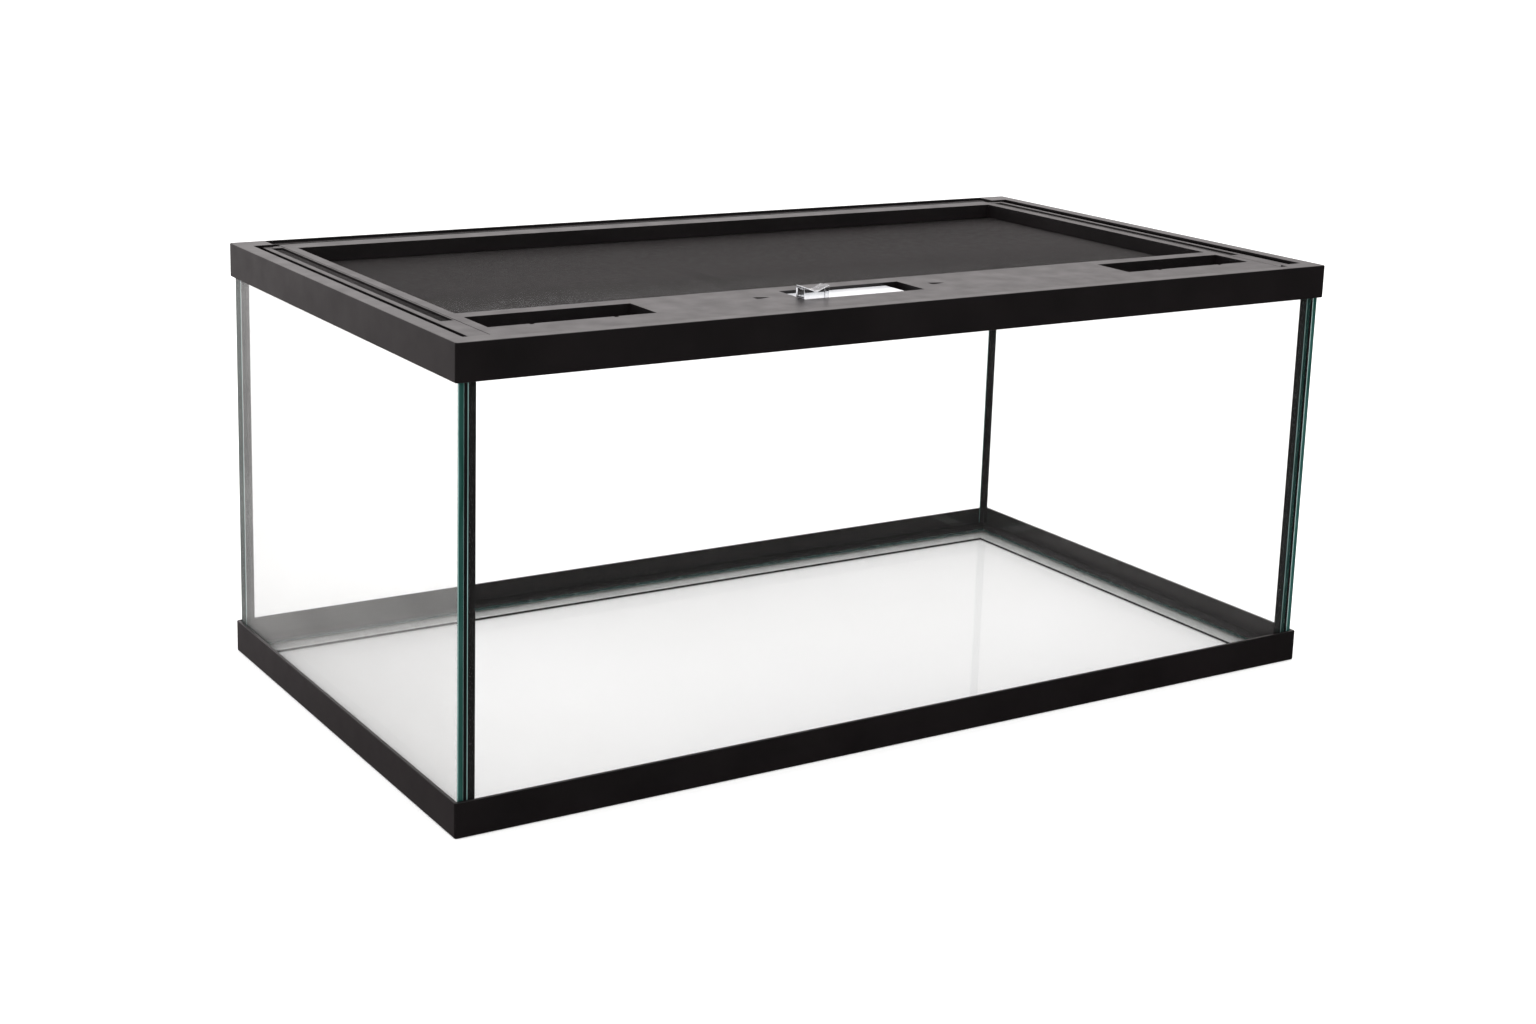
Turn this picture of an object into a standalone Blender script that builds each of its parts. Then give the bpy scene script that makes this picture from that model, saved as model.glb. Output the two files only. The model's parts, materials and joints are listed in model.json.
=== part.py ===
"""A glass small-animal cage: five panes in a black plastic base frame and rim, with a hinged
screen door in the lid and a clear sliding latch. Metres, +Z up, front towards -Y."""
import math

import bmesh
import bpy
from mathutils import Matrix, Vector

MM = 0.001

# Overall sizes
LENGTH = 915 * MM
DEPTH = 505 * MM
HEIGHT = 400 * MM          # to the top of the rim; the latch grip stands above it

# Fits
FIT = 0.3 * MM             # between pieces that touch
DOOR_GAP = 0.7 * MM        # round the door, so that it swings free
SLIDE_GAP = 0.5 * MM       # round the latch, so that it slides

# Glass and silicone
PANE = 5 * MM
FLOOR_PANE = 5 * MM
GLASS_CLEAR = 1.1 * MM     # skirts to the panes' outer faces
BOND = 3 * MM              # silicone joint between an end pane and the pane beside it
SEAL_ALONG = {"front": 12 * MM, "back": 6 * MM}      # corner seals, along these panes
SEAL_ACROSS = {"front": 7.5 * MM, "back": 5 * MM}    # and along the end panes
FLOOR_SEAL_LEG = 6 * MM

# Base frame
SKIRT_WALL = 2.8 * MM
BASE_SKIRT = 30 * MM
BASE_LEDGE = 2 * MM
BASE_LEDGE_REACH = 27 * MM
BEDDING = 1.2 * MM
CORNER_RADIUS = 2.4 * MM
EDGE = 0.6 * MM            # the frames' outer edge rounding
SOFT = 0.35 * MM           # rounding of the other moulded edges

# Rim
RIM_SKIRT = 31.5 * MM
DECK = 2.5 * MM
SIDE_LEDGE = 14.5 * MM
INNER_WALL = 1.6 * MM
SHELF_REACH = 28 * MM
SHELF = 2.5 * MM
SHELF_DEPTH = 20 * MM      # rim top down to the shelf
FRONT_BLOCK = 19.5 * MM    # how far the rim's front corners reach back
REAR_BLOCK = 25 * MM       # how far its rear corners reach forward
REAR_BLOCK_WIDTH = 34 * MM
REAR_DROP = 2.5 * MM       # the rear ledge lies this much under the rim top
LID_DROP = 1.7 * MM        # the door and the end inserts lie this much under the rim top

# End inserts
INSERT_GAP = 8 * MM
INSERT_RAIL = 5.5 * MM
VENT_SLOT = 11 * MM
INSERT_WALL = 1.5 * MM
INSERT_SKIN = 1.2 * MM
VENT_FRONT = 90 * MM       # front face to the start of the vent slot
VENT_REAR = 35 * MM        # rear face to its end
VENT_MESH = 0.8 * MM

# Door
SIDE_BAR = 10.3 * MM
FRONT_BAR = 103 * MM
REAR_BAR = 41 * MM         # rear face of the cage to the front of the door's rear bar
DOOR_FRAME_DEPTH = 14.3 * MM
DOOR_SKIN = 2.4 * MM
DOOR_WALL = 2.2 * MM
WINDOW_WIDTH = 152 * MM
WINDOW_DEPTH = 45 * MM
WINDOW_FRONT = 53 * MM     # front face of the cage to the windows
NOTCH = 4 * MM             # finger notches in the windows' front edges
NOTCH_REACH = 2.5 * MM
ARROW_WIDTH = 15 * MM      # moulded arrows beside the latch
ARROW_DEPTH = 9 * MM
ARROW_SUNK = 0.8 * MM
ARROW_GAP = 22 * MM        # latch pocket to the arrows
SCREEN = 1 * MM
RETAINER = 2.1 * MM
SCREEN_INSET = 1 * MM

# Hinge
HINGE_RADIUS = 5.5 * MM
HINGE_INSET = 18.5 * MM    # rear face of the cage to the hinge axis
PIN_RADIUS = 2 * MM
PIN_IN_BLOCK = 10 * MM
PIN_IN_DOOR = 7 * MM

# Latch
POCKET_WIDTH = 126 * MM
POCKET_DEPTH = 42 * MM
POCKET_CENTRE = -44.5 * MM
POCKET_FRONT = 55 * MM
POCKET_DROP = 6 * MM
POCKET_FLOOR = 2 * MM
TRAVEL = 12 * MM
SLIDER = 3 * MM
GRIP_WIDTH = 26 * MM
GRIP_DEPTH = 13 * MM
GRIP_HEIGHT = 13 * MM
GRIP_WAIST = 4.5 * MM
STEM = 6 * MM
STEM_INSET = 12 * MM       # left end of the slider to the stem's centre
TOE_REACH = 9 * MM
TOE = 2.5 * MM
TOE_WIDTH = 10 * MM
CATCH_MARGIN = 2 * MM      # between the free toe and the catch beside it

# Places that follow from the sizes
HALF_X = LENGTH / 2
HALF_Y = DEPTH / 2
GLASS_OUT = SKIRT_WALL + GLASS_CLEAR
GLASS_IN = GLASS_OUT + PANE
WALL_OUT = GLASS_IN + FIT
WALL_IN = WALL_OUT + INNER_WALL
DECK_UNDER = HEIGHT - DECK
SHELF_TOP = HEIGHT - SHELF_DEPTH
SHELF_UNDER = SHELF_TOP - SHELF
LID_TOP = HEIGHT - LID_DROP
PANE_FOOT = BASE_LEDGE + FIT
FLOOR_UNDER = BASE_LEDGE + FIT + BEDDING + FIT
FLOOR_TOP = FLOOR_UNDER + FLOOR_PANE
INSERT_OUT = SIDE_LEDGE + INSERT_GAP
VENT_OUT = INSERT_OUT + INSERT_RAIL
VENT_IN = VENT_OUT + VENT_SLOT
INSERT_IN = VENT_IN + INSERT_WALL
DOOR_SIDE = INSERT_IN + DOOR_GAP
DOOR_FRONT = WALL_IN + DOOR_GAP
HINGE_Y = HALF_Y - HINGE_INSET
HINGE_Z = LID_TOP - HINGE_RADIUS
DOOR_UNDER = LID_TOP - DOOR_FRAME_DEPTH
SCREEN_TOP = DOOR_UNDER - FIT
SCREEN_UNDER = SCREEN_TOP - SCREEN
RETAINER_TOP = SCREEN_UNDER - FIT
RETAINER_UNDER = RETAINER_TOP - RETAINER
RECESS_SIDE = DOOR_SIDE + SIDE_BAR
RECESS_FRONT = DOOR_FRONT + FRONT_BAR
BORE_RADIUS = PIN_RADIUS + FIT
POCKET_LEFT = POCKET_CENTRE - POCKET_WIDTH / 2
SLIDER_LEFT = POCKET_LEFT + SLIDE_GAP
SLIDER_LENGTH = POCKET_WIDTH - 2 * SLIDE_GAP - TRAVEL
SLIDER_TOP = LID_TOP - POCKET_DROP + FIT + SLIDER
STEM_X = SLIDER_LEFT + STEM_INSET
STEM_Y = -HALF_Y + POCKET_FRONT + SLIDE_GAP + STEM / 2 + 2 * MM
TOE_TOP = SHELF_UNDER - FIT
CATCH_LEFT = STEM_X + TOE_WIDTH / 2 + CATCH_MARGIN

OVER = 5 * MM              # how far a cutter stands past the face that it opens

MATERIALS = {
    "black_plastic": ((0.020, 0.018, 0.018), 0.45, 0.0),
    "glass": ((0.75, 0.88, 0.85), 0.03, 0.0),
    "silicone": ((0.012, 0.012, 0.012), 0.35, 0.0),
    "foam": ((0.62, 0.64, 0.62), 0.9, 0.0),
    "screen": ((0.06, 0.055, 0.055), 0.6, 0.3),
    "steel": ((0.55, 0.55, 0.55), 0.3, 1.0),
    "clear_plastic": ((0.85, 0.87, 0.88), 0.08, 0.0),
}


def material_for(name, finish):
    """A Principled material of the sub-part's own."""
    colour, roughness, metallic = MATERIALS[finish]
    material = bpy.data.materials.new(name + "_" + finish)
    material.use_nodes = True
    shader = material.node_tree.nodes["Principled BSDF"]
    shader.inputs["Base Color"].default_value = (*colour, 1)
    shader.inputs["Roughness"].default_value = roughness
    shader.inputs["Metallic"].default_value = metallic
    return material


def add_object(name, mesh, finish, origin=(0, 0, 0)):
    """Puts a bmesh, built in world places, into the scene with its origin at the given point."""
    bmesh.ops.recalc_face_normals(mesh, faces=mesh.faces)
    bmesh.ops.translate(mesh, verts=mesh.verts, vec=-Vector(origin))
    data = bpy.data.meshes.new(name)
    mesh.to_mesh(data)
    mesh.free()
    part = bpy.data.objects.new(name, data)
    part.location = origin
    bpy.context.scene.collection.objects.link(part)
    if finish:
        data.materials.append(material_for(name, finish))
    return part


def add_box(mesh, low, high):
    """Adds one box between two corners."""
    made = bmesh.ops.create_cube(mesh, size=1)["verts"]
    size = Vector(high) - Vector(low)
    bmesh.ops.scale(mesh, verts=made, vec=size)
    bmesh.ops.translate(mesh, verts=made, vec=(Vector(low) + Vector(high)) / 2)


def add_rod(mesh, start, end, radius, sides=24):
    """Adds one cylinder along X."""
    made = bmesh.ops.create_cone(
        mesh, cap_ends=True, segments=sides, radius1=radius, radius2=radius, depth=1)["verts"]
    bmesh.ops.rotate(mesh, verts=made, matrix=Matrix.Rotation(math.radians(90), 3, "Y"))
    bmesh.ops.scale(mesh, verts=made, vec=(abs(end[0] - start[0]), 1, 1))
    bmesh.ops.translate(mesh, verts=made, vec=(Vector(start) + Vector(end)) / 2)


def boxes(name, corners, finish, origin=(0, 0, 0)):
    """One object of one or more boxes that don't meet."""
    mesh = bmesh.new()
    for low, high in corners:
        add_box(mesh, low, high)
    return add_object(name, mesh, finish, origin)


def extrude_outline(name, outline, axis, start, end, finish, origin=(0, 0, 0)):
    """A flat outline given in the two axes after the named one, pulled along that axis."""
    order = {"x": lambda u, v, w: (w, u, v), "y": lambda u, v, w: (u, w, v),
             "z": lambda u, v, w: (u, v, w)}[axis]
    mesh = bmesh.new()
    face = mesh.faces.new([mesh.verts.new(order(u, v, start)) for u, v in outline])
    pulled = bmesh.ops.extrude_face_region(mesh, geom=[face])["geom"]
    step = Vector(order(0, 0, end - start))
    moved = [item for item in pulled if isinstance(item, bmesh.types.BMVert)]
    bmesh.ops.translate(mesh, verts=moved, vec=step)
    return add_object(name, mesh, finish, origin)


def corner_arc(x, y, radius, start, steps):
    """Points of a quarter turn about (x, y), from the start angle in degrees."""
    angles = [math.radians(start + 90 * step / steps) for step in range(steps + 1)]
    return [(x + radius * math.cos(a), y + radius * math.sin(a)) for a in angles]


def rim_loop(mesh, inset, z, steps=4):
    """A rounded rectangle round the cage, the given distance inside its outer faces."""
    radius = max(CORNER_RADIUS - inset, 0.3 * MM)
    x = HALF_X - inset - radius
    y = HALF_Y - inset - radius
    points = []
    for turn, (sx, sy) in enumerate(((1, 1), (-1, 1), (-1, -1), (1, -1))):
        points += corner_arc(sx * x, sy * y, radius, 90 * turn, steps)
    return [mesh.verts.new((px, py, z)) for px, py in points]


def rim_ring(name, profile, finish):
    """A closed profile of (inset, height) points, swept round the cage."""
    mesh = bmesh.new()
    loops = [rim_loop(mesh, inset, z) for inset, z in profile]
    for here, there in zip(loops, loops[1:] + loops[:1]):
        count = len(here)
        for k in range(count):
            after = (k + 1) % count
            mesh.faces.new((here[k], here[after], there[after], there[k]))
    return add_object(name, mesh, finish)


def combine(part, tool, operation):
    """Cuts, or joins on, a hidden tool object."""
    modifier = part.modifiers.new(tool.name, "BOOLEAN")
    modifier.operation = operation
    modifier.solver = "EXACT"
    modifier.object = tool
    tool.hide_render = True
    tool.display_type = "WIRE"


def cut_boxes(part, label, corners):
    """Cuts boxes out of a part."""
    combine(part, boxes(f"cut_{part.name}_{label}", corners, None), "DIFFERENCE")


def soften(part, width):
    """Breaks the part's sharp edges."""
    modifier = part.modifiers.new("edges", "BEVEL")
    modifier.width = width
    modifier.segments = 1
    modifier.limit_method = "ANGLE"
    modifier.angle_limit = math.radians(50)
    modifier.use_clamp_overlap = True


def inside(left, right, front, rear, bottom, top):
    """A box given by its distances from the left, right, front and rear faces of the cage."""
    return ((-HALF_X + left, -HALF_Y + front, bottom), (HALF_X - right, HALF_Y - rear, top))


def mirrored(corners):
    """The same box on the other side of the middle plane."""
    low, high = corners
    return ((-high[0], low[1], low[2]), (-low[0], high[1], high[2]))


def build_base():
    """The base frame, its foam strip and the glass floor."""
    rim_ring("bottom_frame", [
        (0, EDGE), (0, BASE_SKIRT - EDGE), (EDGE, BASE_SKIRT), (SKIRT_WALL, BASE_SKIRT),
        (SKIRT_WALL, BASE_LEDGE), (BASE_LEDGE_REACH, BASE_LEDGE), (BASE_LEDGE_REACH, 0),
        (EDGE, 0)], "black_plastic")
    foot = BASE_LEDGE + FIT
    rim_ring("floor_bedding", [
        (WALL_OUT, foot), (WALL_OUT, foot + BEDDING), (BASE_LEDGE_REACH, foot + BEDDING),
        (BASE_LEDGE_REACH, foot)], "foam")
    boxes("floor_glass", [inside(
        WALL_OUT, WALL_OUT, WALL_OUT, WALL_OUT, FLOOR_UNDER, FLOOR_TOP)], "glass")


def build_panes():
    """The end panes run the full depth; the front and back panes stand between them."""
    top = DECK_UNDER - FIT
    rear_top = DECK_UNDER - REAR_DROP - FIT
    between = GLASS_IN + BOND
    far_x = LENGTH - GLASS_IN
    far_y = DEPTH - GLASS_IN
    panes = {
        "left_glass": inside(GLASS_OUT, far_x, GLASS_OUT, GLASS_OUT, PANE_FOOT, top),
        "right_glass": inside(far_x, GLASS_OUT, GLASS_OUT, GLASS_OUT, PANE_FOOT, top),
        "front_glass": inside(between, between, GLASS_OUT, far_y, PANE_FOOT, top),
        "back_glass": inside(between, between, far_y, GLASS_OUT, PANE_FOOT, rear_top),
    }
    for name, corners in panes.items():
        boxes(name, [corners], "glass")


def build_seals():
    """Silicone in the four corners, filling the joint between the panes and spreading into a
    hollow-faced fillet behind it, and a fillet round the floor."""
    foot = FLOOR_TOP + FIT
    seal_foot = foot + FLOOR_SEAL_LEG + FIT
    filled = BOND - 2 * FIT
    joint = [(filled, 0), (filled, -PANE), (0, -PANE)]
    for y_name, sy in (("front", -1), ("back", 1)):
        for x_name, sx in (("left", -1), ("right", 1)):
            x = sx * (HALF_X - WALL_OUT)
            y = sy * (HALF_Y - WALL_OUT)
            curve = [(SEAL_ALONG[y_name] * u, SEAL_ACROSS[y_name] * v)
                     for u, v in corner_arc(1, 1, 1, 180, 6)]
            outline = [(x - sx * u, y - sy * v) for u, v in curve + joint]
            extrude_outline(f"corner_seal_{y_name}_{x_name}", outline, "z", seal_foot,
                            SHELF_UNDER - FIT, "silicone")
    leg = FLOOR_SEAL_LEG
    curve = corner_arc(WALL_OUT + leg, foot + leg, leg, 180, 4)
    rim_ring("floor_seal", [(WALL_OUT, foot)] + curve, "silicone")


def build_rim():
    """The rim is cut out of a block: channel for the panes, shelf, deck openings and bores."""
    mesh = bmesh.new()
    skirt_foot = HEIGHT - RIM_SKIRT
    levels = [(EDGE, skirt_foot), (0, skirt_foot + EDGE), (0, HEIGHT - EDGE), (EDGE, HEIGHT)]
    loops = [rim_loop(mesh, inset, z) for inset, z in levels]
    for here, there in zip(loops, loops[1:]):
        count = len(here)
        for k in range(count):
            after = (k + 1) % count
            mesh.faces.new((here[k], here[after], there[after], there[k]))
    mesh.faces.new(loops[0])
    mesh.faces.new(loops[-1])
    rim = add_object("top_frame", mesh, "black_plastic")

    below, above = skirt_foot - OVER, HEIGHT + OVER
    wall = SKIRT_WALL
    cut_boxes(rim, "inside_skirt", [inside(wall, wall, wall, wall, below, SHELF_UNDER)])
    channel_foot = SHELF_UNDER - OVER
    far_x, far_y = LENGTH - WALL_OUT, DEPTH - WALL_OUT
    cut_boxes(rim, "side_channels", [
        inside(wall, far_x, wall, wall, channel_foot, DECK_UNDER),
        inside(far_x, wall, wall, wall, channel_foot, DECK_UNDER)])
    cut_boxes(rim, "front_channel", [inside(wall, wall, wall, far_y, channel_foot, DECK_UNDER)])
    cut_boxes(rim, "back_channel", [
        inside(wall, wall, far_y, wall, channel_foot, DECK_UNDER - REAR_DROP)])
    cut_boxes(rim, "over_shelf", [
        inside(WALL_IN, WALL_IN, WALL_IN, REAR_BLOCK, SHELF_TOP, DECK_UNDER)])
    cut_boxes(rim, "between_hinge_blocks", [
        inside(REAR_BLOCK_WIDTH, REAR_BLOCK_WIDTH, DEPTH - REAR_BLOCK - OVER, WALL_IN,
               SHELF_TOP, above)])
    cut_boxes(rim, "rear_ledge", [
        inside(REAR_BLOCK_WIDTH, REAR_BLOCK_WIDTH, DEPTH - REAR_BLOCK - OVER, SKIRT_WALL,
               HEIGHT - REAR_DROP, above)])
    cut_boxes(rim, "insert_opening", [
        inside(SIDE_LEDGE, SIDE_LEDGE, FRONT_BLOCK, REAR_BLOCK, SHELF_TOP + OVER, above)])
    cut_boxes(rim, "door_opening", [
        inside(INSERT_IN, INSERT_IN, WALL_IN, REAR_BLOCK, SHELF_TOP + OVER, above)])

    catch_right = CATCH_LEFT + TRAVEL
    catch_end = STEM_Y - STEM / 2 - 2 * SLIDE_GAP
    low, high = inside(SHELF_REACH, SHELF_REACH, SHELF_REACH, SHELF_REACH,
                       SHELF_UNDER - OVER, SHELF_TOP + OVER)
    cut_boxes(rim, "shelf_opening", [((low[0], catch_end, low[2]), high)])
    cut_boxes(rim, "beside_catch", [
        (low, (CATCH_LEFT, catch_end + OVER, high[2])),
        ((catch_right, low[1], low[2]), (high[0], catch_end + OVER, high[2]))])

    mesh = bmesh.new()
    for side in (-1, 1):
        face = side * (HALF_X - REAR_BLOCK_WIDTH)
        bottom = face + side * (PIN_IN_BLOCK + FIT)
        add_rod(mesh, (face - side * OVER, HINGE_Y, HINGE_Z), (bottom, HINGE_Y, HINGE_Z),
                BORE_RADIUS)
    combine(rim, add_object("cut_top_frame_bores", mesh, None), "DIFFERENCE")


def build_inserts():
    """The strips beside the door, each a shallow channel with a vent slot and its screen."""
    front, rear = FRONT_BLOCK + DOOR_GAP, REAR_BLOCK + DOOR_GAP
    foot = SHELF_TOP + FIT
    under_skin = LID_TOP - INSERT_SKIN
    wall = INSERT_WALL
    far = LENGTH - INSERT_IN
    mesh_top = under_skin - FIT
    shapes = {
        "shell": inside(INSERT_OUT, far, front, rear, foot, LID_TOP),
        "hollow": inside(INSERT_OUT + wall, far + INSERT_WALL, front + wall, rear + wall,
                         foot - OVER, under_skin),
        "slot": inside(VENT_OUT, LENGTH - VENT_IN, VENT_FRONT, VENT_REAR,
                       under_skin - OVER, LID_TOP + OVER),
        "screen": inside(INSERT_OUT + wall + FIT, far + INSERT_WALL + FIT,
                         front + wall + FIT, rear + wall + FIT,
                         mesh_top - VENT_MESH, mesh_top),
    }
    for side in ("left", "right"):
        place = mirrored if side == "right" else (lambda corners: corners)
        insert = boxes(f"end_insert_{side}", [place(shapes["shell"])], "black_plastic")
        cut_boxes(insert, "hollow", [place(shapes["hollow"])])
        cut_boxes(insert, "slot", [place(shapes["slot"])])
        soften(insert, SOFT)
        boxes(f"vent_mesh_{side}", [place(shapes["screen"])], "screen")


def door_windows(bottom, top):
    """The two deep windows in the door's front bar."""
    rear = DEPTH - WINDOW_FRONT - WINDOW_DEPTH
    left = inside(RECESS_SIDE, LENGTH - RECESS_SIDE - WINDOW_WIDTH, WINDOW_FRONT, rear,
                  bottom, top)
    return [left, mirrored(left)]


def door_recess(bottom, top):
    """The opening behind the front bar, over the screen."""
    return inside(RECESS_SIDE, RECESS_SIDE, RECESS_FRONT, REAR_BAR, bottom, top)


def stem_slot(bottom, top):
    """The slot that the latch's stem slides along."""
    half = STEM / 2 + SLIDE_GAP
    return ((STEM_X - half, STEM_Y - half, bottom), (STEM_X + half + TRAVEL, STEM_Y + half, top))


def latch_pocket(bottom, top):
    """The pocket that the latch lies in."""
    right = HALF_X - POCKET_LEFT - POCKET_WIDTH
    return inside(POCKET_LEFT + HALF_X, right, POCKET_FRONT,
                  DEPTH - POCKET_FRONT - POCKET_DEPTH, bottom, top)


def window_notches(bottom, top):
    """Two finger notches in the front edge of each window, a quarter of the way from its ends."""
    notches = []
    for low, high in door_windows(bottom, top):
        for share in (0.25, 0.75):
            x = low[0] + share * (high[0] - low[0])
            notches.append(((x - NOTCH / 2, low[1] - NOTCH_REACH, bottom),
                            (x + NOTCH / 2, low[1] + NOTCH_REACH, top)))
    return notches


def latch_arrow(name, sign, top):
    """A sunk arrow head beside the latch pocket, pointing along the latch's travel."""
    pocket = latch_pocket(0, 1)
    x = pocket[1][0] + ARROW_GAP if sign > 0 else pocket[0][0] - ARROW_GAP - ARROW_WIDTH
    y = (pocket[0][1] + pocket[1][1]) / 2
    outline = [(x, y - ARROW_DEPTH / 2), (x + ARROW_WIDTH, y), (x, y + ARROW_DEPTH / 2)]
    return extrude_outline(name, outline, "z", LID_TOP - ARROW_SUNK, top, None)


def door_hollows():
    """What is hollow under the door frame's skin, in boxes parted by thin ribs."""
    wall = DOOR_WALL
    low, high = DOOR_UNDER - OVER, LID_TOP - DOOR_SKIN
    left, _ = door_windows(low, high)
    left_end, left_front, left_rear = left[1][0], left[0][1], left[1][1]
    pocket = latch_pocket(low, high)
    bar_rear = -HALF_Y + RECESS_FRONT - wall
    side = HALF_X - DOOR_SIDE - wall
    front = -HALF_Y + DOOR_FRONT + wall
    inner_x = HALF_X - RECESS_SIDE + wall
    recess = door_recess(low, high)
    hollows = [
        ((-side, front, low), (side, min(left_front, pocket[0][1]) - wall, high)),
        ((left_end + wall, left_front, low), (pocket[0][0] - wall, bar_rear, high)),
        ((pocket[1][0] + wall, left_front, low), (-left_end - wall, bar_rear, high)),
        ((left[0][0], left_rear + wall, low), (left_end - wall, bar_rear, high)),
        ((-left_end + wall, left_rear + wall, low), (-left[0][0], bar_rear, high)),
        ((pocket[0][0], pocket[1][1] + wall, low), (pocket[1][0], bar_rear, high)),
        ((-inner_x + 2 * wall, recess[1][1] + wall, low),
         (inner_x - 2 * wall, HINGE_Y - BORE_RADIUS - wall, high)),
    ]
    for sign in (-1, 1):
        ends = sorted((sign * side, sign * inner_x))
        hollows.append(((ends[0], recess[0][1], low), (ends[1], recess[1][1], high)))
    under_pocket = LID_TOP - POCKET_DROP - POCKET_FLOOR
    return hollows, [latch_pocket(low, under_pocket)]


def build_door():
    """The door frame, cut from one bar whose rear edge is round about the hinge axis, with
    its screen, the retainer under it and the two hinge pins."""
    hinge = (0, HINGE_Y, HINGE_Z)
    barrel = [(HINGE_Y + y, HINGE_Z + z) for y, z in
              reversed(corner_arc(0, 0, HINGE_RADIUS, -90, 6)[:-1]
                       + corner_arc(0, 0, HINGE_RADIUS, 0, 6))]
    front = -HALF_Y + DOOR_FRONT
    outline = [(front, DOOR_UNDER), (front, LID_TOP)] + barrel + [(HINGE_Y, DOOR_UNDER)]
    side = HALF_X - DOOR_SIDE
    door = extrude_outline("door_frame", outline, "x", -side, side, "black_plastic", hinge)
    below, above = DOOR_UNDER - OVER, LID_TOP + OVER
    cut_boxes(door, "openings", [door_recess(below, above)] + door_windows(below, above))
    cut_boxes(door, "pocket", [latch_pocket(LID_TOP - POCKET_DROP, above)])
    hollows, under_pocket = door_hollows()
    cut_boxes(door, "hollows", hollows)
    cut_boxes(door, "under_pocket", under_pocket)
    cut_boxes(door, "stem_slot", [stem_slot(below, above)])
    cut_boxes(door, "notches", window_notches(LID_TOP - DOOR_SKIN - OVER, above))
    for label, sign in (("left", -1), ("right", 1)):
        combine(door, latch_arrow(f"cut_door_frame_arrow_{label}", sign, above), "DIFFERENCE")
    mesh = bmesh.new()
    for sign in (-1, 1):
        add_rod(mesh, (sign * (side + OVER), HINGE_Y, HINGE_Z),
                (sign * (side - PIN_IN_DOOR - FIT), HINGE_Y, HINGE_Z), BORE_RADIUS)
    combine(door, add_object("cut_door_frame_bores", mesh, None), "DIFFERENCE")
    soften(door, SOFT)

    edge = DOOR_SIDE + SCREEN_INSET
    edge_front = DOOR_FRONT + SCREEN_INSET
    edge_rear = HINGE_INSET + SCREEN_INSET
    screen = boxes("door_mesh", [inside(
        edge, edge, edge_front, edge_rear, SCREEN_UNDER, SCREEN_TOP)], "screen", hinge)
    cut_boxes(screen, "stem_slot", [stem_slot(SCREEN_UNDER - OVER, SCREEN_TOP + OVER)])
    retainer = boxes("mesh_retainer", [inside(
        edge, edge, edge_front, edge_rear, RETAINER_UNDER, RETAINER_TOP)],
        "black_plastic", hinge)
    below, above = RETAINER_UNDER - OVER, RETAINER_TOP + OVER
    cut_boxes(retainer, "openings", [door_recess(below, above)] + door_windows(below, above))
    cut_boxes(retainer, "stem_slot", [stem_slot(below, above)])

    for name, sign in (("left", -1), ("right", 1)):
        mesh = bmesh.new()
        outer = HALF_X - REAR_BLOCK_WIDTH + PIN_IN_BLOCK
        add_rod(mesh, (sign * outer, HINGE_Y, HINGE_Z),
                (sign * (side - PIN_IN_DOOR), HINGE_Y, HINGE_Z), PIN_RADIUS)
        pin = add_object(f"hinge_pin_{name}", mesh, "steel", hinge)
        pin.data.shade_smooth()
        pin.data.set_sharp_from_angle(angle=math.radians(40))


def build_latch():
    """A clear plate with a bow-tie grip on top and a stem with a hooked toe under it."""
    origin = (STEM_X, STEM_Y, SLIDER_TOP)
    front = -HALF_Y + POCKET_FRONT + SLIDE_GAP
    rear = front + POCKET_DEPTH - 2 * SLIDE_GAP
    latch = boxes("latch_slider", [(
        (SLIDER_LEFT, front, SLIDER_TOP - SLIDER),
        (SLIDER_LEFT + SLIDER_LENGTH, rear, SLIDER_TOP))], "clear_plastic", origin)

    half = GRIP_WIDTH / 2
    foot = SLIDER_TOP - SLIDER / 2
    middle = SLIDER_TOP + GRIP_HEIGHT / 2
    waist = GRIP_WAIST / 2
    centre = SLIDER_LEFT + half
    outline = [(-half, foot), (half, foot), (half, SLIDER_TOP + GRIP_HEIGHT),
               (waist, middle + waist), (-waist, middle + waist),
               (-half, SLIDER_TOP + GRIP_HEIGHT)]
    outline = [(centre + x, z) for x, z in outline]
    grip = extrude_outline("join_latch_grip", outline, "y", STEM_Y - STEM / 2,
                           STEM_Y - STEM / 2 + GRIP_DEPTH, None)
    combine(latch, grip, "UNION")
    stem = boxes("join_latch_stem", [(
        (STEM_X - STEM / 2, STEM_Y - STEM / 2, TOE_TOP - TOE / 2),
        (STEM_X + STEM / 2, STEM_Y + STEM / 2, SLIDER_TOP - SLIDER / 2))], None)
    combine(latch, stem, "UNION")
    toe = boxes("join_latch_toe", [(
        (STEM_X - TOE_WIDTH / 2, STEM_Y - STEM / 2 - TOE_REACH, TOE_TOP - TOE),
        (STEM_X + TOE_WIDTH / 2, STEM_Y + STEM / 2, TOE_TOP))], None)
    combine(latch, toe, "UNION")


def main():
    for old in list(bpy.data.objects):
        bpy.data.objects.remove(old)
    build_base()
    build_panes()
    build_seals()
    build_rim()
    build_inserts()
    build_door()
    build_latch()


main()
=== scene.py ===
# %% [markdown]
# # A glass hamster cage with a hinged screen door
# Glass panes stand in a black plastic base frame, and a black rim holds a lid with a
# screen door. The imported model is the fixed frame: it says where every part is and how
# it moves. This script adds the finish: real glass edges, woven screen, moulded plastic.

# %% Load the frame
import json
import math

import bpy
from mathutils import Matrix, Vector


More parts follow.
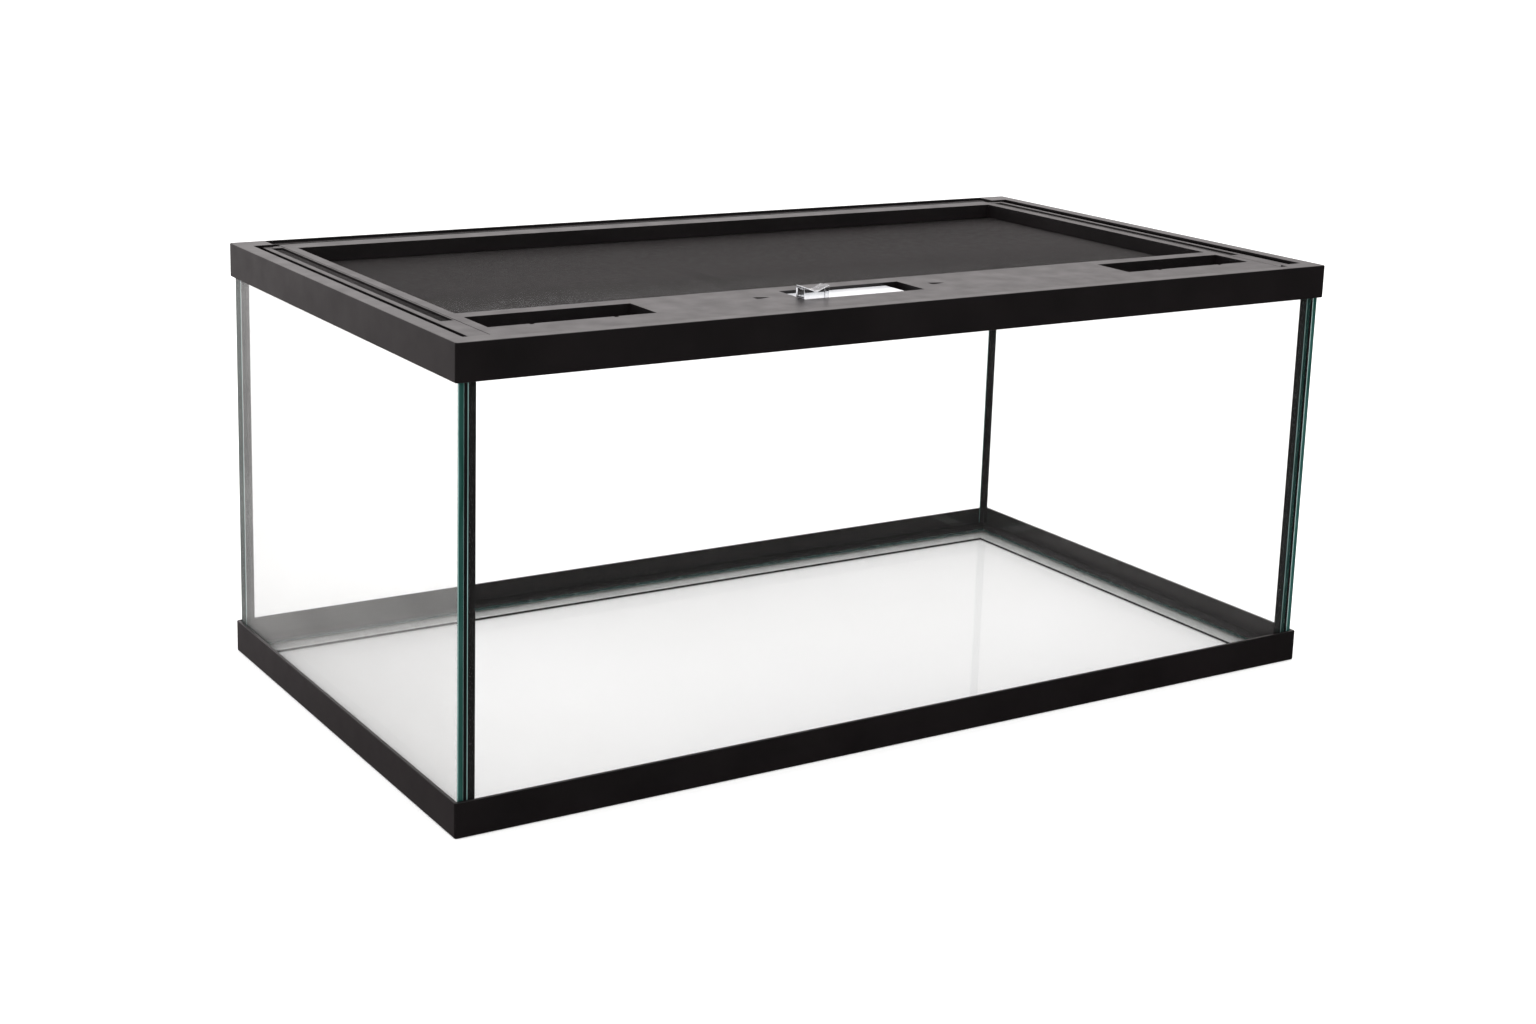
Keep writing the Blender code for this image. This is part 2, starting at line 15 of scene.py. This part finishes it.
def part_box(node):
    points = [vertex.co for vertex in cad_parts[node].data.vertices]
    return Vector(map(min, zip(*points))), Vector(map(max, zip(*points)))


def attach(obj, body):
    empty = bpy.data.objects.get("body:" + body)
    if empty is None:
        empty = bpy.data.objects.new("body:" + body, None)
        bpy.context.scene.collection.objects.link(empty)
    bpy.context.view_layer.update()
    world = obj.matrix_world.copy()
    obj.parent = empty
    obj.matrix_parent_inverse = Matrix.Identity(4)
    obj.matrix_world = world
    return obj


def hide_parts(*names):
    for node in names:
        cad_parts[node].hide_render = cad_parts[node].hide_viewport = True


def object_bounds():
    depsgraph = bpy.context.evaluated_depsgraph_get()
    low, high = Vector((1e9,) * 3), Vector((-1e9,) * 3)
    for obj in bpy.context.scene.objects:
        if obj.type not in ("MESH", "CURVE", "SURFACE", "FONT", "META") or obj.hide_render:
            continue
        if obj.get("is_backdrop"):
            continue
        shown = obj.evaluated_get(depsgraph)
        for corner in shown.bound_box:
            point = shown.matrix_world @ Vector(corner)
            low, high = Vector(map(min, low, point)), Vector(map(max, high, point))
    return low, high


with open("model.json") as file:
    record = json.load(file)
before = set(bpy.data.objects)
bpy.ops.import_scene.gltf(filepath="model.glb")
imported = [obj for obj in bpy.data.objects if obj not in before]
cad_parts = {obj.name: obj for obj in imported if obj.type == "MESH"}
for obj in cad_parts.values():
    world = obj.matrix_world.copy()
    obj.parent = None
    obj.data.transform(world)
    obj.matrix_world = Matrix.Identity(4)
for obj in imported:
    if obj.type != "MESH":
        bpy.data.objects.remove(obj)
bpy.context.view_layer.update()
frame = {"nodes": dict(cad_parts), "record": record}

MM = 0.001

# %% [markdown]
# ## Helpers for modelling
# Operators act on whatever is selected, and loading leaves every CAD node selected. So
# each step starts by clearing the selection and making one object active.


# %% Selection and modifiers
def activate(obj):
    """Selects one object alone and makes it active."""
    bpy.ops.object.select_all(action="DESELECT")
    obj.select_set(True)
    bpy.context.view_layer.objects.active = obj


def apply_modifier(obj, kind, **settings):
    """Adds a modifier with its settings and applies it at once."""
    activate(obj)
    modifier = obj.modifiers.new(kind.lower(), kind)
    for key, value in settings.items():
        setattr(modifier, key, value)
    bpy.ops.object.modifier_apply(modifier=modifier.name)


def settle(obj):
    """Puts the object's place, turn and size into its mesh."""
    activate(obj)
    bpy.ops.object.transform_apply(location=True, rotation=True, scale=True)


def soft_shade(obj, angle):
    """Smooth shading that keeps flat faces flat beside their rounded edges."""
    activate(obj)
    bpy.ops.object.shade_smooth_by_angle(angle=math.radians(angle))
    apply_modifier(obj, "WEIGHTED_NORMAL", keep_sharp=True, weight=80)


def hand_over(obj, node, slot, *materials):
    """Gives a finished piece its materials, hangs it on the body that its CAD node rides on,
    and hides that node.
    """
    obj.data.materials.clear()
    for material in materials:
        obj.data.materials.append(material)
    body = next(name for name, nodes in frame["record"]["behaviour"]["bodies"].items()
                if node in nodes)
    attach(obj, body)
    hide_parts(node)
    print(obj.name, "rides on", body, "with", len(obj.data.polygons), "faces")


# %% [markdown]
# ## Helpers for materials
# Colours are written as the hex values that a screen shows, and shaders work in linear
# light, so one function converts them. One small function adds a node, sets it and
# links it, which keeps each material short enough to read. A colour mix node has its two
# colours on inputs 6 and 7, and its result on output 2.


# %% Colours and nodes
def linear(hex_colour):
    """A hex colour as linear red, green, blue and alpha."""
    values = [int(hex_colour[k:k + 2], 16) / 255 for k in (1, 3, 5)]
    return tuple(v / 12.92 if v < 0.04045 else ((v + 0.055) / 1.055) ** 2.4
                 for v in values) + (1,)


def add_node(tree, kind, settings=None, inputs=None):
    """Adds one node; an input is a plain value, or an output socket to link from."""
    made = tree.nodes.new(kind)
    for key, value in (settings or {}).items():
        setattr(made, key, value)
    for key, value in (inputs or {}).items():
        if isinstance(value, bpy.types.NodeSocket):
            tree.links.new(value, made.inputs[key])
        else:
            made.inputs[key].default_value = value
    return made


def blank_material(name):
    """A material whose tree holds only its output."""
    material = bpy.data.materials.new(name)
    material.use_nodes = True
    tree = material.node_tree
    tree.nodes.clear()
    return material, tree, tree.nodes.new("ShaderNodeOutputMaterial")


def object_noise(tree, size, detail=2.0, stretch=(1, 1, 1)):
    """Noise on Object coordinates whose blotches are about size metres across."""
    place = add_node(tree, "ShaderNodeTexCoord").outputs["Object"]
    mapped = add_node(tree, "ShaderNodeMapping", None, {"Vector": place, "Scale": stretch})
    return add_node(tree, "ShaderNodeTexNoise", None, {
        "Vector": mapped.outputs[0], "Scale": 1 / size, "Detail": detail}).outputs["Fac"]


def ramp(tree, value, low, high, start=0.3, end=0.7):
    """Turns a noise value into a blend of two hex colours."""
    made = add_node(tree, "ShaderNodeValToRGB", None, {"Fac": value})
    made.color_ramp.elements[0].position = start
    made.color_ramp.elements[0].color = linear(low)
    made.color_ramp.elements[1].position = end
    made.color_ramp.elements[1].color = linear(high)
    return made.outputs["Color"]


def spread(tree, value, low, high, start=0.3, end=0.7):
    """Turns a noise value into a number between two limits."""
    return add_node(tree, "ShaderNodeMapRange", None, {
        "Value": value, "From Min": start, "From Max": end,
        "To Min": low, "To Max": high}).outputs[0]


# %% [markdown]
# ## Black moulded plastic
# The frames are injection-moulded polystyrene. The mould is finely spark-eroded, which
# leaves a satin grain. The edges are painted a little lighter, partly for the polish of
# handling and partly as a painted highlight. The grain is about 0.3 mm on the real thing
# and is drawn at 0.9 mm, so that it shows. The lid's own mouldings are a shade paler and
# rougher than the frames'.


# %% Moulded plastic material
GRAIN = 0.9 * MM
# The paler edge band is partly wear and partly a painted highlight along each edge.
WORN_AND_HIGHLIGHT_WIDTH = 0.7 * MM
WORN_EDGE_AND_HIGHLIGHT = "#3a3536"


def moulded_plastic(name, dark="#0e0b0c", light="#141011", rough=(0.30, 0.38)):
    """Satin black plastic: blotchy tone, fine grain, and edges painted paler, partly for wear
    and partly as a painted highlight.
    """
    material, tree, output = blank_material(name)
    tone = ramp(tree, object_noise(tree, 60 * MM, 3), dark, light)
    bevel = add_node(tree, "ShaderNodeBevel", {"samples": 4}, {"Radius": WORN_AND_HIGHLIGHT_WIDTH})
    flat = add_node(tree, "ShaderNodeNewGeometry").outputs["Normal"]
    same = add_node(tree, "ShaderNodeVectorMath", {"operation": "DOT_PRODUCT"}, {
        0: bevel.outputs[0], 1: flat}).outputs["Value"]
    # Edges are painted paler: partly rubbed wear, partly a painted highlight of light caught
    # on the edge.
    worn_and_highlight = spread(tree, same, 0.35, 0.0, 0.75, 0.995)     # none on a flat, where same is 1
    colour = add_node(tree, "ShaderNodeMix", {"data_type": "RGBA"}, {
        0: worn_and_highlight, 6: tone, 7: linear(WORN_EDGE_AND_HIGHLIGHT)}).outputs[2]
    grain = object_noise(tree, GRAIN, 1)
    bump = add_node(tree, "ShaderNodeBump", None, {
        "Strength": 0.10, "Distance": 0.1 * MM, "Height": grain})
    shader = add_node(tree, "ShaderNodeBsdfPrincipled", None, {
        "Base Color": colour, "IOR": 1.45,
        "Roughness": spread(tree, object_noise(tree, 25 * MM, 4), *rough),
        "Normal": bump.outputs[0]})
    tree.links.new(shader.outputs[0], output.inputs["Surface"])
    return material


RIM_PLASTIC = moulded_plastic("black_moulded_polystyrene")
LID_PLASTIC = moulded_plastic("black_lid_polystyrene", "#100d0e", "#171314", (0.33, 0.42))

# %% [markdown]
# ## Float glass
# A pane is clear through its faces and green through its cut edges, because light that
# reaches an edge has crossed the whole sheet. The faces are a mix of seeing through and
# mirroring, with the mirror's share from Schlick's rule: 4% head on, all of it at a
# grazing angle. The rule is the same from inside and outside, unlike a Fresnel node. Dust
# adds a thin film. The left pane has more of it, and the floor mirrors less than the sides.


# %% Glass materials
MIRROR_HEAD_ON = 0.04
DUST_HEAD_ON = 0.004
DUST = "#e6e6e4"


def schlick(tree, head_on, grazing):
    """How much a smooth surface mirrors at the angle that it is seen at."""
    facing = add_node(tree, "ShaderNodeLayerWeight", None, {"Blend": 0.5}).outputs["Facing"]
    steep = add_node(tree, "ShaderNodeMath", {"operation": "POWER"}, {0: facing, 1: 5.0})
    return add_node(tree, "ShaderNodeMapRange", None, {
        "Value": steep.outputs[0], "To Min": head_on, "To Max": grazing}).outputs[0]


def clear_glass(name, tint, dusty, grazing=1.0):
    """A see-through face of a pane. Its film of dust is thin head on and shows more at a
    slant: dusty is its share at the lowest slant, and grazing is the mirror's there."""
    material, tree, output = blank_material(name)
    marks = spread(tree, object_noise(tree, 150 * MM, 4, (1, 1, 3)), 0.8, 1.2)
    facing = add_node(tree, "ShaderNodeLayerWeight", None, {"Blend": 0.5}).outputs["Facing"]
    slant = add_node(tree, "ShaderNodeMath", {"operation": "POWER"}, {0: facing, 1: 3.0})
    film = add_node(tree, "ShaderNodeMapRange", None, {
        "Value": slant.outputs[0], "To Min": DUST_HEAD_ON, "To Max": dusty}).outputs[0]
    film = add_node(tree, "ShaderNodeMath", {"operation": "MULTIPLY"}, {0: film, 1: marks})
    through = add_node(tree, "ShaderNodeBsdfTransparent", None, {"Color": linear(tint)})
    dust = add_node(tree, "ShaderNodeBsdfDiffuse", None, {"Color": linear(DUST)})
    body = add_node(tree, "ShaderNodeMixShader", None, {
        0: film.outputs[0], 1: through.outputs[0], 2: dust.outputs[0]})
    mirror = add_node(tree, "ShaderNodeBsdfGlossy", None, {"Roughness": 0.0})
    both = add_node(tree, "ShaderNodeMixShader", None, {
        0: schlick(tree, MIRROR_HEAD_ON, grazing), 1: body.outputs[0], 2: mirror.outputs[0]})
    tree.links.new(both.outputs[0], output.inputs["Surface"])
    return material


def glass_edge(name, deep, pale, rough):
    """A ground edge of a pane: streaks of the grinding belt between two greens."""
    material, tree, output = blank_material(name)
    streaks = object_noise(tree, 6 * MM, 3, (1, 1, 0.08))
    shader = add_node(tree, "ShaderNodeBsdfPrincipled", None, {
        "Base Color": ramp(tree, streaks, deep, pale), "IOR": 1.52,
        "Roughness": spread(tree, streaks, *rough)})
    tree.links.new(shader.outputs[0], output.inputs["Surface"])
    return material


PANE_FACE = clear_glass("float_glass_face", "#fefefe", 0.12)
HAZY_FACE = clear_glass("float_glass_wiped_face", "#fefefe", 0.36)
FLOOR_FACE = clear_glass("float_glass_floor_face", "#fdfdfd", 0.06, 0.14)
PANE_EDGE = glass_edge("float_glass_cut_edge", "#10322b", "#274e49", (0.12, 0.3))
PANE_ARRIS = glass_edge("float_glass_arris", "#5f857f", "#86a8a6", (0.25, 0.4))

# %% [markdown]
# ## Silicone, foam, screen, steel and clear plastic
# Silicone is tooled with a wet finger, so it is smooth with a slow ripple. The screen's
# wire is coated black. The latch is styrene, which bends light: clear in the grip, and
# frosted in the plate. The plate's near-white is partly that frosting and partly a painted
# reflection of the overhead light.


# %% Small materials
def plain_surface(name, dark, light, blotch, rough, bump=0.0, grain=1 * MM, **fixed):
    """A Principled surface with a blotchy tone, uneven roughness and some bump."""
    material, tree, output = blank_material(name)
    blotches = object_noise(tree, blotch, 3)
    inputs = {"Base Color": ramp(tree, blotches, dark, light),
              "Roughness": spread(tree, blotches, *rough)}
    inputs.update(fixed)
    if bump:
        inputs["Normal"] = add_node(tree, "ShaderNodeBump", None, {
            "Strength": bump, "Distance": 0.2 * MM,
            "Height": object_noise(tree, grain, 2)}).outputs[0]
    shader = add_node(tree, "ShaderNodeBsdfPrincipled", None, inputs)
    tree.links.new(shader.outputs[0], output.inputs["Surface"])
    return material


STYRENE_IOR = 1.57
SILICONE = plain_surface("black_silicone_sealant", "#090808", "#0f0d0d", 40 * MM,
                         (0.42, 0.55), bump=0.03, grain=30 * MM,
                         **{"Specular IOR Level": 0.3})
FOAM = plain_surface("pale_foam_strip", "#d6d8d6", "#e6e7e5", 9 * MM, (0.85, 0.95),
                     bump=0.3, grain=1.2 * MM)
WIRE = plain_surface("black_coated_wire", "#2a2727", "#383434", 8 * MM, (0.4, 0.55))
STEEL = plain_surface("drawn_steel_pin", "#8e8e8c", "#a8a8a6", 3 * MM, (0.22, 0.34),
                      Metallic=1.0)
CLEAR = plain_surface("clear_moulded_styrene", "#f4f6f8", "#fafbfc", 20 * MM,
                      (0.04, 0.09), bump=0.05, grain=5 * MM,
                      **{"Transmission Weight": 1.0, "IOR": STYRENE_IOR})
# Near-white frosting: on the plate it is partly a painted reflection of the overhead light,
# and on the grip's rounded edges it is a painted highlight.
FROSTED_AND_HIGHLIGHT = plain_surface("frosted_styrene_and_painted_highlight", "#f4f4f8", "#fcfcfe", 30 * MM,
                        (0.10, 0.22), bump=0.10, grain=6 * MM,
                        **{"Transmission Weight": 0.2, "IOR": STYRENE_IOR})

# %% [markdown]
# ## The moulded frames and the silicone beads
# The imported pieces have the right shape, but they are loose triangles, so light breaks
# at each one. A copy of each is merged into one skin and shaded smooth over its small
# rounded edges, with weighted normals so that the broad faces stay dead flat. The packed
# rim has sharp inner edges, so its skin is first made of whole flat faces and then rounded.


# %% Merged copies of the moulded pieces and the beads
def merged_copy(node, name):
    """A copy of a CAD node's mesh, merged into one skin."""
    mesh = frame["nodes"][node].data.copy()
    obj = bpy.data.objects.new(name, mesh)
    bpy.context.scene.collection.objects.link(obj)
    activate(obj)
    bpy.ops.mesh.customdata_custom_splitnormals_clear()
    bpy.ops.object.mode_set(mode="EDIT")
    bpy.ops.mesh.select_all(action="SELECT")
    bpy.ops.mesh.remove_doubles(threshold=0.005 * MM)
    bpy.ops.object.mode_set(mode="OBJECT")
    return obj


FLAT_WITHIN = math.radians(0.5)     # triangles that turn by less than this are one face
SHARP_ANGLE = 50                    # degrees: an edge that turns by more counts as sharp
RIM_ROUNDING = 0.35 * MM
SKINS = [
    ("bottom_frame", "base_frame_skin", "black_plastic", RIM_PLASTIC),
    ("top_frame", "rim_skin", "black_plastic", RIM_PLASTIC),
    ("end_insert_left", "left_vent_strip", "black_plastic", LID_PLASTIC),
    ("end_insert_right", "right_vent_strip", "black_plastic", LID_PLASTIC),
    ("door_frame", "door_skin", "black_plastic", LID_PLASTIC),
    ("mesh_retainer", "retainer_skin", "black_plastic", LID_PLASTIC),
    ("corner_seal_front_left", "front_left_bead", "black_silicone", SILICONE),
    ("corner_seal_front_right", "front_right_bead", "black_silicone", SILICONE),
    ("corner_seal_back_left", "back_left_bead", "black_silicone", SILICONE),
    ("corner_seal_back_right", "back_right_bead", "black_silicone", SILICONE),
    ("floor_seal", "floor_bead", "black_silicone", SILICONE),
]
for node, name, slot, material in SKINS:
    skin = merged_copy(node, name)
    if node == "top_frame":
        apply_modifier(skin, "DECIMATE", decimate_type="DISSOLVE",
                       angle_limit=FLAT_WITHIN)
        apply_modifier(skin, "BEVEL", width=RIM_ROUNDING, segments=2,
                       limit_method="ANGLE", angle_limit=math.radians(SHARP_ANGLE))
    soft_shade(skin, SHARP_ANGLE)
    hand_over(skin, node, slot, material)

# %% [markdown]
# ## The five panes
# Each pane is a sheet of float glass whose cut edges are ground, with a narrow flat, the
# arris, taken off each corner. A cube is brought to the pane's box, its edges are
# bevelled for the arris, and the faces are given to the clear sheet, the green edge or
# the paler arris by the way that they look.

# %% Cut and grind the panes
ARRIS = 0.5 * MM


def glass_pane(node, name, across, sheet=PANE_FACE):
    """A pane with ground edges; across is the axis through its thickness."""
    low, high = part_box(node)
    bpy.ops.object.select_all(action="DESELECT")
    bpy.ops.mesh.primitive_cube_add(size=1, location=(low + high) / 2)
    pane = bpy.context.object
    pane.name = pane.data.name = name
    pane.scale = high - low
    settle(pane)
    apply_modifier(pane, "BEVEL", width=ARRIS, segments=1, limit_method="ANGLE")
    hand_over(pane, node, "glass", sheet, PANE_EDGE, PANE_ARRIS)
    for face in pane.data.polygons:
        if max(abs(value) for value in face.normal) < 0.95:
            face.material_index = 2
        elif abs(face.normal[across]) < 0.5:
            face.material_index = 1


glass_pane("front_glass", "front_pane", 1)
glass_pane("back_glass", "back_pane", 1)
glass_pane("left_glass", "left_pane", 0, HAZY_FACE)
glass_pane("right_glass", "right_pane", 0)
glass_pane("floor_glass", "floor_pane", 2, FLOOR_FACE)

# %% [markdown]
# ## Woven screen
# Insect screen is woven from 0.28 mm wire, 16 or so to the inch. A true weave has
# a bend at each of some hundred thousand crossings, far too many faces, so the two sets
# of wires are straight and lie one on the other. One wire is a thin six-sided rod; an
# array repeats it across the screen, and the array stops either side of the slot that
# the latch's stem slides in.

# %% One bank of parallel wires
# The real wire is 0.14 mm in radius at a pitch of 1.6 mm, which leaves 68% of the screen
# open. It is drawn a little coarser, so that it shows, and leaves 63% open.
WIRE_RADIUS = 0.2 * MM
WIRE_PITCH = 1.95 * MM


def wire_bank(start, end, step, count):
    """Parallel wires: the first goes from start to end, and each next is a step on."""
    start, end = Vector(start), Vector(end)
    bpy.ops.object.select_all(action="DESELECT")
    bpy.ops.mesh.primitive_cylinder_add(
        vertices=6, radius=WIRE_RADIUS, depth=(end - start).length,
        location=(start + end) / 2,
        rotation=(end - start).to_track_quat("Z", "Y").to_euler())
    wires = bpy.context.object
    settle(wires)
    bpy.ops.object.shade_smooth()
    apply_modifier(wires, "ARRAY", count=count, use_relative_offset=False,
                   use_constant_offset=True, constant_offset_displace=step)
    return wires


def wire_groups(places, span, slot_here, slot_across):
    """Splits parallel wires into those beside the slot and the halves of those meeting it."""
    if slot_here is None:
        return [(places, span)]
    before = [p for p in places if p < slot_here[0]]
    across = [p for p in places if slot_here[0] <= p <= slot_here[1]]
    after = [p for p in places if p > slot_here[1]]
    return [(before, span), (across, (span[0], slot_across[0])),
            (across, (slot_across[1], span[1])), (after, span)]


def woven_screen(node, name, slot_box=None):
    """Both sets of wires over a CAD screen, one lying on the other, joined into a piece."""
    low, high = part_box(node)
    middle = (low.z + high.z) / 2
    banks = []
    for axis, height in ((0, middle + WIRE_RADIUS), (1, middle - WIRE_RADIUS)):
        other = 1 - axis
        count = int((high[axis] - low[axis] - 2 * WIRE_RADIUS) / WIRE_PITCH)
        first = (low[axis] + high[axis] - (count - 1) * WIRE_PITCH) / 2
        places = [first + k * WIRE_PITCH for k in range(count)]
        here = slot_box and (slot_box[0][axis], slot_box[1][axis])
        across = slot_box and (slot_box[0][other], slot_box[1][other])
        step = [0, 0, 0]
        step[axis] = WIRE_PITCH
        for group, span in wire_groups(places, (low[other], high[other]), here, across):
            ends = [[0, 0, height], [0, 0, height]]
            for end, value in zip(ends, span):
                end[axis], end[other] = group[0], value
            banks.append(wire_bank(*ends, step, len(group)))
    activate(banks[0])
    for bank in banks:
        bank.select_set(True)
    bpy.ops.object.join()
    screen = bpy.context.object
    screen.name = screen.data.name = name
    hand_over(screen, node, "screen", WIRE)


# %% [markdown]
# The latch's stem passes through the door's screen, in a slot long enough for the
# latch's travel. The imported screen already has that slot, so its place is read there:
# the slot's corners are the only ones that lie inside the screen's outline.

# %% Weave the three screens
low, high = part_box("door_mesh")
corners = [v.co for v in frame["nodes"]["door_mesh"].data.vertices
           if low.x + MM < v.co.x < high.x - MM and low.y + MM < v.co.y < high.y - MM]
stem_slot = [[pick(c[axis] for c in corners) for axis in (0, 1)] for pick in (min, max)]
print("slot for the stem:", [[round(v / MM, 1) for v in corner] for corner in stem_slot])
woven_screen("door_mesh", "door_screen", stem_slot)
woven_screen("vent_mesh_left", "left_vent_screen")
woven_screen("vent_mesh_right", "right_vent_screen")

# %% [markdown]
# ## The clear latch
# The latch is one moulding in clear styrene: a plate, a grip shaped like a bow tie, and
# a stem whose toe hooks under the rim's catch. Moulded clear plastic shows itself by its
# rounded edges, which gather the light, so the merged copy gets a small round on each. The
# plate gets the near-white frosted finish, partly frosting and partly a painted reflection.
# The grip's rounded edges get the same near-white as a painted highlight, and the rest
# stays clear.

# %% Round the latch's edges
LATCH_ROUNDING = 0.5 * MM
PLATE_DROP = 2.4 * MM         # the plate's faces all lie this far below the door's top,
PLATE_DEPTH = 4 * MM          # or lower, within this depth
EDGE_AREA = 3 * MM * MM       # the strips of the rounded edges are all smaller than this

latch = merged_copy("latch_slider", "clear_latch")
apply_modifier(latch, "BEVEL", width=LATCH_ROUNDING, segments=3,
               limit_method="ANGLE", angle_limit=math.radians(30))
soft_shade(latch, 40)
hand_over(latch, "latch_slider", "clear_plastic", CLEAR, FROSTED_AND_HIGHLIGHT)
plate_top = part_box("door_frame")[1].z - PLATE_DROP
for face in latch.data.polygons:
    in_plate = plate_top - PLATE_DEPTH < face.center.z < plate_top
    # The grip's small edge strips get the near-white material as a painted highlight.
    grip_edge_highlight = face.center.z >= plate_top and face.area < EDGE_AREA
    if in_plate or grip_edge_highlight:
        face.material_index = 1
print("frosted faces on the latch:", sum(f.material_index for f in latch.data.polygons),
      "of", len(latch.data.polygons))

# %% [markdown]
# ## Hidden pieces
# The foam strip that the floor lies on and the two hinge pins keep their CAD shape, so
# they only need their finish.

# %% Finish for the pieces that keep their CAD mesh
for node, material in (("floor_bedding", FOAM), ("hinge_pin_left", STEEL),
                       ("hinge_pin_right", STEEL)):
    mesh = frame["nodes"][node].data
    mesh.materials.clear()
    mesh.materials.append(material)
    print(node, "is", material.name)

# %% [markdown]
# ## Floor, light and camera
# The cage stands on a white sweep. What its black plastic shows is mostly what it
# mirrors, so the surroundings are a soft field of light, brightest high up behind the cage
# and dark in front. Only mirroring rays see that field; the rest sees plain white. A little
# glow in the paper stands for the light that a real sweep gets from all round.

# %% White sweep
SWEEP_GAP = 0.5 * MM          # keeps the sweep clear of the base's underside
PAPER_GLOW = 0.27

bpy.ops.object.select_all(action="DESELECT")
bpy.ops.mesh.primitive_plane_add(size=40, location=(0, 0, -SWEEP_GAP))
sweep = bpy.context.object
sweep.name = "white_sweep"
material, tree, output = blank_material("white_paper_sweep")
paper = add_node(tree, "ShaderNodeBsdfPrincipled", None, {
    "Base Color": ramp(tree, object_noise(tree, 0.4, 2), "#f3f3f2", "#f6f6f6"),
    "Roughness": 1.0, "Specular IOR Level": 0.0,
    "Emission Color": linear("#ffffff"), "Emission Strength": PAPER_GLOW})
tree.links.new(paper.outputs[0], output.inputs["Surface"])
sweep.data.materials.append(material)
sweep.visible_glossy = False
sweep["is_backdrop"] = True

# %% Surroundings
WHITE_LEVEL = 1.3
BRIGHT_SIDE = Vector((0.1, 0.8, 0.59)).normalized()
FIELD = ((0.0, "#1c1818"), (0.45, "#332f2f"), (0.74, "#6c6667"), (0.88, "#e9e3e3"),
         (1.0, "#fffafa"))

world = bpy.data.worlds.new("studio")
bpy.context.scene.world = world
world.use_nodes = True
tree = world.node_tree
tree.nodes.clear()
direction = add_node(tree, "ShaderNodeTexCoord").outputs["Generated"]
towards = add_node(tree, "ShaderNodeVectorMath", {"operation": "DOT_PRODUCT"}, {
    0: direction, 1: BRIGHT_SIDE}).outputs["Value"]
field = add_node(tree, "ShaderNodeValToRGB", None, {
    "Fac": spread(tree, towards, 0, 1, -1, 1)})
stops = field.color_ramp.elements
while len(stops) < len(FIELD):
    stops.new(0.5)
for stop, (place, colour) in zip(stops, FIELD):
    stop.position, stop.color = place, linear(colour)
mirrored = add_node(tree, "ShaderNodeLightPath").outputs["Is Glossy Ray"]
seen = add_node(tree, "ShaderNodeMix", {"data_type": "RGBA"}, {
    0: mirrored, 6: linear("#ffffff"), 7: field.outputs["Color"]}).outputs[2]
background = add_node(tree, "ShaderNodeBackground", None, {
    "Color": seen, "Strength": WHITE_LEVEL})
output = add_node(tree, "ShaderNodeOutputWorld", None, {"Surface": background.outputs[0]})

# %% Overhead softbox
lamp = bpy.data.lights.new("overhead_softbox", "AREA")
lamp.shape = "RECTANGLE"
lamp.size, lamp.size_y = 3.0, 2.4
lamp.energy = 25
overhead = bpy.data.objects.new("overhead_softbox", lamp)
overhead.location = (0, 0.3, 2.6)
overhead.visible_camera = False
bpy.context.scene.collection.objects.link(overhead)

# %% Camera
CAMERA_PLACE = (-1.1579, -1.7810, 0.7490)
YAW, PITCH, ROLL = math.radians(32.65), math.radians(11.98), math.radians(1.79)

camera_data = bpy.data.cameras.new("camera")
camera_data.sensor_width = 36
camera_data.lens = 53.02
camera_data.shift_y = -0.10
camera_data.clip_end = 100
camera = bpy.data.objects.new("camera", camera_data)
forward = Vector((math.sin(YAW) * math.cos(PITCH), math.cos(YAW) * math.cos(PITCH),
                  -math.sin(PITCH)))
right = Vector((math.cos(YAW), -math.sin(YAW), 0))
up = right.cross(forward)
turned_right = right * math.cos(ROLL) + up * math.sin(ROLL)
turned_up = up * math.cos(ROLL) - right * math.sin(ROLL)
axes = Matrix((turned_right, turned_up, -forward)).transposed()
camera.matrix_world = Matrix.Translation(CAMERA_PLACE) @ axes.to_4x4()
bpy.context.scene.collection.objects.link(camera)
bpy.context.scene.camera = camera
bpy.context.scene.view_settings.view_transform = "Standard"

# %% [markdown]
# ## Size
# The finished model's size is printed in millimetres.

# %% Sizes and finish
low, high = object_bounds()
print("size in mm:", [round(v / MM, 1) for v in high - low])
